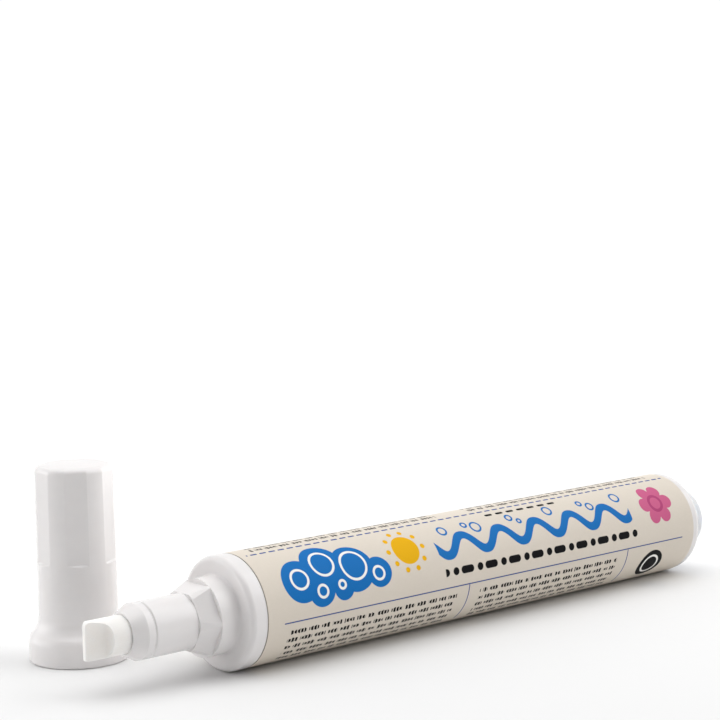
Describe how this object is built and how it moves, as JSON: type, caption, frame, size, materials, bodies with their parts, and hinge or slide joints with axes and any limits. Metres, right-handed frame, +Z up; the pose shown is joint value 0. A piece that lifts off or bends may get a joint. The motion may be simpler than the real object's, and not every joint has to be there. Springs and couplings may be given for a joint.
{
  "type": "stain remover pen",
  "caption": "Open stain remover pen lying on its side: wrapped barrel, stepped neck, chisel nib on a spring valve, rear plug, and its pulled-off cap standing beside it.",
  "frame": {"origin": "on the surface the set stands on, below the middle of the box round the pen and its cap", "axes": "+X along the pen from nib to rear plug, +Y from the pen towards the standing cap, +Z up"},
  "size_m": [0.127, 0.0375, 0.0293],
  "materials": {
    "white_plastic": "moulded white polypropylene, smooth with a soft gloss",
    "frosted_plastic": "natural translucent plastic, bluish white",
    "valve_plastic": "plain moulded plastic, inside the pen",
    "label_film": "printed cream wrap label, satin",
    "felt": "bonded fibre felt, warm off-white, damp at the tip",
    "black_rubber": "matte sealing rubber",
    "spring_steel": "drawn stainless wire"
  },
  "bodies": {
    "pen": {"barrel": "white_plastic", "wrap_label": "label_film", "end_plug": "frosted_plastic", "front_section": "white_plastic", "nib_guide": "white_plastic", "valve_cage": "frosted_plastic", "spring_clip": "frosted_plastic", "valve_spring": "spring_steel", "spigot_seal": "black_rubber"},
    "nib": {"nib": "felt", "valve_stem": "valve_plastic", "valve_washer": "black_rubber"},
    "cap": {"cap": "white_plastic", "inner_cap": "frosted_plastic"}
  },
  "joints": [
    {"name": "nib_press", "type": "slide", "parent": "pen", "child": "nib", "axis": [1, 0, 0], "range_m": [0, 0.0016], "stiffness_N_per_m": 700, "springref_m": -0.0015, "deforming": ["valve_spring"]},
    {"name": "cap_lift", "type": "slide", "parent": "pen", "child": "cap", "axis": [0, 0, 1], "range_m": [0, 0.05]}
  ]
}
